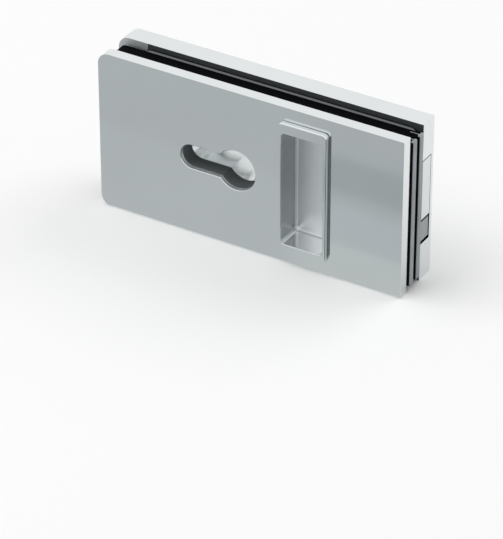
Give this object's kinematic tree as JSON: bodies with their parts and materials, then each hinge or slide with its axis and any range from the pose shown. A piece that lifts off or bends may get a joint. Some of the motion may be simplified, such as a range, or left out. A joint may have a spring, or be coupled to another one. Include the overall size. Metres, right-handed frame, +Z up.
{
  "type": "sliding door lock",
  "caption": "Flat clamp-on lock for a sliding glass door with a swinging hook bolt, flush pull, bar handle and profile cylinder hole.",
  "frame": {"origin": "axis of the keyhole's round part, in the middle plane between the two clamping plates", "axes": "+X along the lock towards the door's closing edge, +Y from the thin cover plate towards the thick body plate, +Z up"},
  "size_m": [0.1373, 0.0347, 0.07],
  "materials": {
    "satin_steel": "satin",
    "sleeve_steel": "satin",
    "black_core": "matte",
    "grey_backing": "matte",
    "zinc_plate": "matte",
    "grey_strip": "matte",
    "bolt_steel": "satin",
    "guard_steel": "matte",
    "spring_steel": "satin",
    "bronze": "satin",
    "black_screw": "matte"
  },
  "bodies": {
    "lock_body": {"body_plate": "satin_steel", "cover_plate": "satin_steel", "core_block": "black_core", "mechanism_cover": "zinc_plate", "core_backing": "grey_backing", "cylinder_sleeve": "sleeve_steel", "rosette": "satin_steel", "bar_handle": "satin_steel", "flush_pull": "satin_steel", "pull_clamp_ring": "zinc_plate", "edge_strip_cover_side": "grey_strip", "edge_strip_body_side": "grey_strip", "hook_pivot_pin": "spring_steel", "pivot_spacer": "bronze", "slide_studs": "spring_steel", "detent_spring": "spring_steel", "cover_grub_screws": "black_screw", "core_screws": "black_screw", "rosette_screws": "black_screw", "bar_screws": "black_screw", "cylinder_screw": "black_screw"},
    "hook": {"hook_bolt": "bolt_steel", "hook_guard": "guard_steel", "guard_rivet": "spring_steel", "hook_bushing": "bronze", "hook_drive_pin": "spring_steel"},
    "slide": {"drive_slide": "zinc_plate"}
  },
  "joints": [
    {"name": "hook_swing", "type": "hinge", "parent": "lock_body", "child": "hook", "pos_m": [0.0647, 0.0102, -0.013], "axis": [0, 1, 0], "range_deg": [0, 55]},
    {"name": "slide_travel", "type": "slide", "parent": "lock_body", "child": "slide", "axis": [1, 0, 0], "range_m": [0, 0.00647], "deforming": ["detent_spring"]}
  ],
  "couplings": [
    {"joint": "slide_travel", "follows": "hook_swing", "m_per_rad": 0.0067343}
  ]
}
